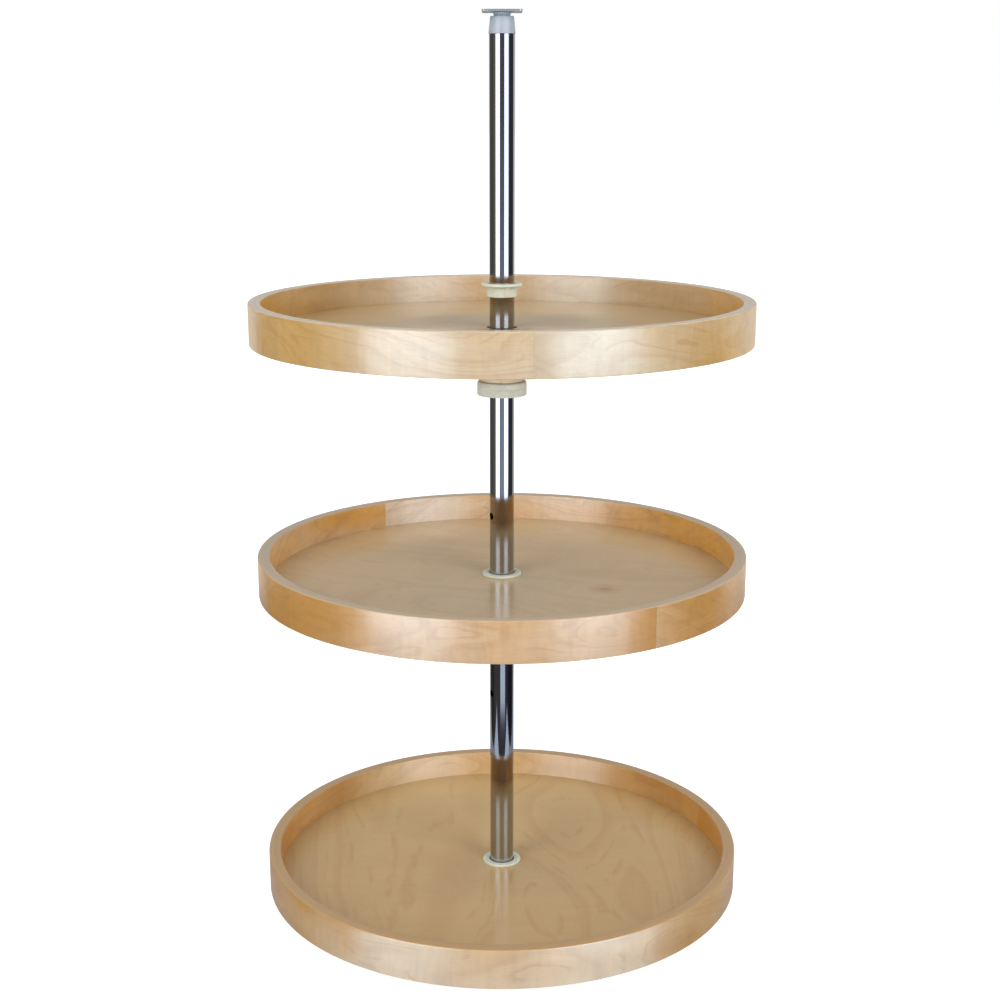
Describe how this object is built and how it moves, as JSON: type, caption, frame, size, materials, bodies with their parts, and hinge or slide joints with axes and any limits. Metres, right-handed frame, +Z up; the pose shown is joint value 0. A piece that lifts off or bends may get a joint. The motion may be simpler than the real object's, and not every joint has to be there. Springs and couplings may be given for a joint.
{
  "type": "rotating pantry shelf unit",
  "caption": "Round rimmed wooden shelves that turn on ball races round a chrome post, with a pivoting steel mounting plate at the floor and at the ceiling.",
  "frame": {"origin": "centre of the floor plate's underside, on the post's axis", "axes": "+Z up the post; -Y faces the front, from which the picture was taken; +X to its right"},
  "size_m": [0.508, 0.508, 0.9963],
  "materials": {
    "rim_wood": "clear satin lacquer over bent birch",
    "panel_wood": "clear semi-gloss lacquer over birch veneer",
    "post_chrome": "polished chrome plate",
    "nylon": "off-white moulded nylon",
    "cap_plastic": "grey-white moulded plastic",
    "pivot_plastic": "blue-grey moulded plastic",
    "zinc_plate": "zinc plated",
    "bearing_steel": "ground steel"
  },
  "bodies": {
    "floor_mount": {"floor_plate": "zinc_plate", "floor_rivet": "bearing_steel"},
    "post": {"floor_pivot": "pivot_plastic", "thrust_ball": "bearing_steel", "bottom_cap": "cap_plastic", "post_tube": "post_chrome", "top_cap": "cap_plastic", "bottom_pin": "bearing_steel", "bottom_collar": "nylon", "middle_pin": "bearing_steel", "middle_collar": "nylon", "top_pin": "bearing_steel", "top_collar": "nylon"},
    "bottom_shelf": {"bottom_hub": "nylon", "bottom_hub_screws": "zinc_plate", "bottom_floor_panel": "panel_wood", "bottom_inner_hoop": "rim_wood", "bottom_outer_hoop": "rim_wood"},
    "bottom_cage": {"bottom_ball_cage": "cap_plastic", "bottom_bearing_balls": "bearing_steel"},
    "bottom_bush_body": {"bottom_bush": "nylon"},
    "middle_shelf": {"middle_hub": "nylon", "middle_hub_screws": "zinc_plate", "middle_floor_panel": "panel_wood", "middle_inner_hoop": "rim_wood", "middle_outer_hoop": "rim_wood"},
    "middle_cage": {"middle_ball_cage": "cap_plastic", "middle_bearing_balls": "bearing_steel"},
    "middle_bush_body": {"middle_bush": "nylon"},
    "top_shelf": {"top_hub": "nylon", "top_hub_screws": "zinc_plate", "top_floor_panel": "panel_wood", "top_inner_hoop": "rim_wood", "top_outer_hoop": "rim_wood"},
    "top_cage": {"top_ball_cage": "cap_plastic", "top_bearing_balls": "bearing_steel"},
    "top_bush_body": {"top_bush": "nylon"},
    "ceiling_pivot_body": {"ceiling_pivot": "pivot_plastic"},
    "ceiling_mount": {"ceiling_rivet": "bearing_steel", "ceiling_plate": "zinc_plate"}
  },
  "joints": [
    {"name": "post_spin", "type": "hinge", "parent": "floor_mount", "child": "post", "pos_m": [0, 0, 0], "axis": [0, 0, 1], "continuous": true},
    {"name": "bottom_shelf_spin", "type": "hinge", "parent": "post", "child": "bottom_shelf", "pos_m": [0, 0, 0.08995], "axis": [0, 0, 1], "continuous": true},
    {"name": "bottom_cage_spin", "type": "hinge", "parent": "post", "child": "bottom_cage", "pos_m": [0, 0, 0.08995], "axis": [0, 0, 1], "continuous": true},
    {"name": "bottom_bush_slide", "type": "slide", "parent": "post", "child": "bottom_bush_body", "axis": [0, 0, 1], "range_m": [0, 0.25]},
    {"name": "middle_shelf_spin", "type": "hinge", "parent": "post", "child": "middle_shelf", "pos_m": [0, 0, 0.41895], "axis": [0, 0, 1], "continuous": true},
    {"name": "middle_cage_spin", "type": "hinge", "parent": "post", "child": "middle_cage", "pos_m": [0, 0, 0.41895], "axis": [0, 0, 1], "continuous": true},
    {"name": "middle_bush_slide", "type": "slide", "parent": "post", "child": "middle_bush_body", "axis": [0, 0, 1], "range_m": [0, 0.18]},
    {"name": "top_shelf_spin", "type": "hinge", "parent": "post", "child": "top_shelf", "pos_m": [0, 0, 0.67865], "axis": [0, 0, 1], "continuous": true},
    {"name": "top_cage_spin", "type": "hinge", "parent": "post", "child": "top_cage", "pos_m": [0, 0, 0.67865], "axis": [0, 0, 1], "continuous": true},
    {"name": "top_bush_slide", "type": "slide", "parent": "post", "child": "top_bush_body", "axis": [0, 0, 1], "range_m": [-0.0417, 0.235]},
    {"name": "ceiling_pivot_lift", "type": "slide", "parent": "post", "child": "ceiling_pivot_body", "axis": [0, 0, 1], "range_m": [0, 0.018]},
    {"name": "ceiling_plate_swivel", "type": "hinge", "parent": "ceiling_pivot_body", "child": "ceiling_mount", "pos_m": [0, 0, 0.9963], "axis": [0, 0, 1], "continuous": true}
  ],
  "couplings": [
    {"joint": "bottom_cage_spin", "follows": "bottom_shelf_spin", "ratio": 0.5},
    {"joint": "middle_cage_spin", "follows": "middle_shelf_spin", "ratio": 0.5},
    {"joint": "top_cage_spin", "follows": "top_shelf_spin", "ratio": 0.5},
    {"joint": "ceiling_plate_swivel", "follows": "post_spin", "ratio": -1}
  ]
}
